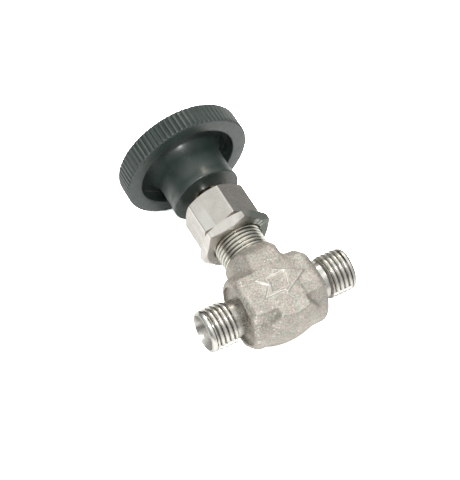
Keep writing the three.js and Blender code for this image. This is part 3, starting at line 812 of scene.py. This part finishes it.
def cut_away(obj, cutter):
    """Cuts one object's shape out of another, and removes the cutter."""
    cut = obj.modifiers.new("cut", "BOOLEAN")
    cut.operation = "DIFFERENCE"
    cut.solver = "EXACT"
    cut.object = cutter
    bpy.context.view_layer.update()
    graph = bpy.context.evaluated_depsgraph_get()
    obj.data = bpy.data.meshes.new_from_object(obj.evaluated_get(graph))
    obj.modifiers.clear()
    bpy.data.objects.remove(cutter)


def make_knob(material):
    """The moulding: hub, bell-shaped recess and fluted rim, with a hole for the set screw."""
    outline = knob_outline()
    per_flute = 10
    columns = FLUTES * per_flute
    angles = np.linspace(0, 2 * math.pi, columns, endpoint=False)
    overlap = 0.35
    groove = np.clip((np.cos(FLUTES * angles) + overlap) / (1 + overlap), 0, 1) ** 1.2
    radius = outline[:, :1] - FLUTE_DEPTH * outline[:, 2:3] * groove[None, :]
    height = outline[:, 1:2] * np.ones((1, columns))
    points = around(radius, height, angles[None, :])
    faces = ring_faces(len(outline), columns, False)
    knob = build("knob_moulding", points.reshape(-1, 3), faces, material, 40.0)
    hole, end = SCREW_RADIUS + 0.3, HUB_LIP + 2
    cutter = turned("screw_hole", [(0, 0), (hole, 0), (hole, end), (0, end)], material, sides=64)
    across_hub(cutter.data, 0)
    cut_away(knob, cutter)
    return knob


def make_set_screw(material):
    """The set screw, with a round hole for its key."""
    length = SCREW_OUTER - SCREW_INNER
    socket = 1.155
    outline = rounded([
        (0, 0, 0), (SCREW_RADIUS - 0.5, 0, 0.1), (SCREW_RADIUS, 0.5, 0.1),
        (SCREW_RADIUS, length, 0.2), (socket, length, 0.1), (socket, length - 2.4, 0),
        (0, length - 2.9, 0)])
    screw = turned("set_screw_turned", outline, material, sides=48)
    across_hub(screw.data, SCREW_INNER)
    return screw


def make_stem(material):
    """The stem, from its chamfered screw inside the body to its plain top in the knob."""
    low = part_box("stem")[0].z / MM - PORT_AXIS_HEIGHT
    outline = rounded([
        (0, low, 0), (2.6, low, 0.2), (STEM_SCREW_RADIUS, 5.9, 0.1),
        (STEM_SCREW_RADIUS, STEM_SCREW_TOP, 0.1), (STEM_RADIUS, STEM_SCREW_TOP + 0.4, 0),
        (STEM_RADIUS, STEM_TOP, 0.4), (0, STEM_TOP, 0)])
    return turned("stem_bar", outline, material, sides=96)


# ---- Set -------------------------------------------------------------------------------------

CAMERA_RIGHT = Vector((0.872, -0.049, -0.489))
CAMERA_BACK = Vector((-0.303, -0.835, -0.457))
CAMERA_DISTANCE, CAMERA_LENS = 450.0, 137.5
# The middle of the picture, to the camera's right and up from the crossing of the axes.
AIM_RIGHT, AIM_UP = -11.195, 14.705

TABLE_UP = Vector((0.0, -0.988, 0.151)).normalized()
TABLE_POINT = (0, 9.9, -7.0)
TABLE_REACH = 0.6


def make_camera():
    """A long lens, looking at the pad and up under the knob."""
    back = CAMERA_BACK.normalized()
    right = (CAMERA_RIGHT - back * CAMERA_RIGHT.dot(back)).normalized()
    up = back.cross(right)
    data = bpy.data.cameras.new("camera")
    data.lens = CAMERA_LENS
    data.sensor_width = 36.0
    data.clip_start, data.clip_end = 0.01, 10.0
    camera = bpy.data.objects.new("camera", data)
    bpy.context.scene.collection.objects.link(camera)
    place = AIM_RIGHT * right + AIM_UP * up + CAMERA_DISTANCE * back
    turn = Matrix((right, up, back)).transposed().to_4x4()
    camera.matrix_world = Matrix.Translation(Vector(to_row(place))) @ turn
    bpy.context.scene.camera = camera


def table_white():
    """White to the camera, clear from behind, and to the valve a painted light, brighter on the
    camera's left.
    """
    over_white = 8.0
    material = bpy.data.materials.new("table_white")
    material.use_nodes = True
    nodes, links = material.node_tree.nodes, material.node_tree.links
    place = nodes.new("ShaderNodeTexCoord")
    side = nodes.new("ShaderNodeVectorMath")
    side.operation = "DOT_PRODUCT"
    side.inputs[1].default_value = CAMERA_RIGHT
    links.new(place.outputs["Object"], side.inputs[0])
    shade = nodes.new("ShaderNodeMapRange")
    # Painted light: as the valve sees it, the paper is brighter on the camera's left than on its right.
    left_to_right = {"From Min": 10 * MM, "From Max": 60 * MM, "To Min": 1.25, "To Max": 0.45}
    for key, value in left_to_right.items():
        shade.inputs[key].default_value = value
    links.new(side.outputs["Value"], shade.inputs["Value"])
    paper = nodes["Principled BSDF"]
    paper.inputs["Roughness"].default_value = 0.6
    links.new(shade.outputs["Result"], paper.inputs["Base Color"])
    seen = nodes.new("ShaderNodeBsdfDiffuse")
    seen.inputs["Color"].default_value = (over_white, over_white, over_white, 1)
    path = nodes.new("ShaderNodeLightPath")
    geometry = nodes.new("ShaderNodeNewGeometry")
    front, both = nodes.new("ShaderNodeMixShader"), nodes.new("ShaderNodeMixShader")
    links.new(path.outputs["Is Camera Ray"], front.inputs[0])
    links.new(paper.outputs[0], front.inputs[1])
    links.new(seen.outputs[0], front.inputs[2])
    links.new(geometry.outputs["Backfacing"], both.inputs[0])
    links.new(front.outputs[0], both.inputs[1])
    links.new(nodes.new("ShaderNodeBsdfTransparent").outputs[0], both.inputs[2])
    links.new(both.outputs[0], nodes["Material Output"].inputs["Surface"])
    return material


def make_floor():
    """The table: a wide sheet close under the valve's back and the knob's rim."""
    centre = Vector(to_row(TABLE_POINT))
    across = Vector((TABLE_REACH, 0, 0))
    along = TABLE_UP.cross(across)
    mesh = bpy.data.meshes.new("table")
    corners = [centre + a * across + b * along for a, b in ((-1, -1), (1, -1), (1, 1), (-1, 1))]
    mesh.from_pydata(corners, [], [(0, 1, 2, 3)])
    mesh.materials.append(table_white())
    floor = bpy.data.objects.new("table", mesh)
    bpy.context.scene.collection.objects.link(floor)


def make_light(name, direction, distance, size, power, colour=(1, 1, 1)):
    """A soft square light aimed at the valve from the given direction."""
    centre = Vector(to_row((0, 0, 18)))
    data = bpy.data.lights.new(name, "AREA")
    data.size = size
    data.energy = power
    data.color = colour
    light = bpy.data.objects.new(name, data)
    bpy.context.scene.collection.objects.link(light)
    direction = Vector(direction).normalized()
    light.location = centre + direction * distance
    light.rotation_mode = "QUATERNION"
    light.rotation_quaternion = direction.to_track_quat("Z", "Y")


def make_world():
    """White to the camera; to the valve, a room that is bright over the table and dim round it."""
    world = bpy.data.worlds.new("studio")
    bpy.context.scene.world = world
    world.use_nodes = True
    nodes, links = world.node_tree.nodes, world.node_tree.links
    nodes.clear()
    coordinate = nodes.new("ShaderNodeTexCoord")
    dot = nodes.new("ShaderNodeVectorMath")
    dot.operation = "DOT_PRODUCT"
    dot.inputs[1].default_value = TABLE_UP
    links.new(coordinate.outputs["Generated"], dot.inputs[0])
    height = nodes.new("ShaderNodeMapRange")
    height.inputs["From Min"].default_value = -1
    height.inputs["From Max"].default_value = 1
    links.new(dot.outputs["Value"], height.inputs["Value"])
    ramp = nodes.new("ShaderNodeValToRGB")
    greys = [(0.0, 0.45), (0.40, 0.30), (0.50, 0.20), (0.62, 0.24), (0.75, 0.46), (0.88, 0.92),
             (1.0, 1.12)]
    fill_ramp(ramp.color_ramp, [(at, (grey * 0.97, grey, grey * 0.98)) for at, grey in greys])
    links.new(height.outputs["Result"], ramp.inputs["Fac"])
    room = nodes.new("ShaderNodeBackground")
    links.new(ramp.outputs["Color"], room.inputs["Color"])
    white = nodes.new("ShaderNodeBackground")
    white.inputs["Color"].default_value = (1, 1, 1, 1)
    path = nodes.new("ShaderNodeLightPath")
    mix = nodes.new("ShaderNodeMixShader")
    links.new(path.outputs["Is Camera Ray"], mix.inputs[0])
    links.new(room.outputs[0], mix.inputs[1])
    links.new(white.outputs[0], mix.inputs[2])
    output = nodes.new("ShaderNodeOutputWorld")
    links.new(mix.outputs[0], output.inputs["Surface"])


# ---- Assembly --------------------------------------------------------------------------------

# Painted shade for the turned parts, as (radius, grey) stops: darker in thread roots, relief and bore.
PORT_GROOVE_SHADE = [
    (PORT_CONE - 0.10, 0.80), (PORT_RELIEF - 0.08, 0.95), (PORT_RELIEF - 0.03, 0.88),
    (PORT_ROOT + 0.12, 0.50), (PORT_CREST - 0.30, 1.0),
]
NECK_GROOVE_SHADE = [(NECK_ROOT, 0.38), (NECK_CREST - 0.30, 0.65), (NECK_CREST - 0.08, 1.0)]

STEEL_FORGED = forged_steel()
STEEL_PORT = turned_steel("machined_steel_ports", (0.78, 0.755, 0.71), (0.23, 0.35),
                          (16.0, 0.5, 0.5), (0, 1, 1), PORT_GROOVE_SHADE)
STEEL_NECK = turned_steel("machined_steel_neck", (0.78, 0.755, 0.69), (0.16, 0.26),
                          (0.5, 0.5, 16.0), (1, 1, 0), NECK_GROOVE_SHADE)
STEEL_NUT = nut_steel("machined_steel_nut", (0.67, 0.625, 0.58), 0.27)
# The panel nut gets a painted shade on its side to the camera's right.
STEEL_PANEL_NUT = nut_steel("panel_nut_steel", (0.70, 0.66, 0.62), 0.30, (-9.5, -6.0))
PLASTIC = black_plastic()
STEEL_SCREW = plain_part("black_oxide_steel", (0.05, 0.05, 0.055), 0.8, 0.35)
STEEL_INSIDE = plain_part("machined_steel_inside", (0.70, 0.68, 0.65), 1.0, 0.28)
BRASS = plain_part("brass_insert", (0.72, 0.55, 0.27), 1.0, 0.32)
PTFE = plain_part("white_ptfe", (0.86, 0.85, 0.82), 0.0, 0.45)

INSIDE_LOOKS = {
    "needle_tip": STEEL_INSIDE,
    "packing_support_washer": STEEL_INSIDE,
    "packing_gland": STEEL_INSIDE,
    "packing_ring_lower": PTFE,
    "packing_ring_middle": PTFE,
    "packing_ring_upper": PTFE,
    "knob_insert": BRASS,
}


def attach(piece, body, node):
    """Puts a piece on its moving body, in place of the CAD's node."""
    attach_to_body(piece, body)
    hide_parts(node)


attach(make_forging(STEEL_FORGED), "valve", "valve_body")
attach(make_port("port_inlet", "-x", STEEL_PORT), "valve", "valve_body")
attach(make_port("port_outlet", "+x", STEEL_PORT), "valve", "valve_body")
attach(make_neck(STEEL_NECK), "valve", "valve_body")
attach(make_packing_nut(STEEL_NUT), "valve", "packing_nut")
attach(make_panel_nut(STEEL_PANEL_NUT), "panel_nut", "panel_nut")
attach(make_knob(PLASTIC), "handle", "knob")
attach(make_stem(STEEL_INSIDE), "handle", "stem")
attach(make_set_screw(STEEL_SCREW), "handle", "knob_set_screw")

for node_name, look in INSIDE_LOOKS.items():
    node_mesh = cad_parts[node_name].data
    node_mesh.materials.clear()
    node_mesh.materials.append(look)

make_camera()
make_floor()
make_world()
make_light("flash", (-0.126, -0.974, -0.190), 0.50, 0.05, 0.9)
make_light("bounce", (0.25, -0.35, -0.90), 0.50, 0.30, 0.12)
make_light("ceiling", (0.250, -0.690, 0.690), 0.60, 0.12, 0.45, (1.0, 0.90, 0.78))

scene = bpy.context.scene
scene.view_settings.view_transform = "Standard"
scene.view_settings.look = "None"
scene.view_settings.exposure = 0.0
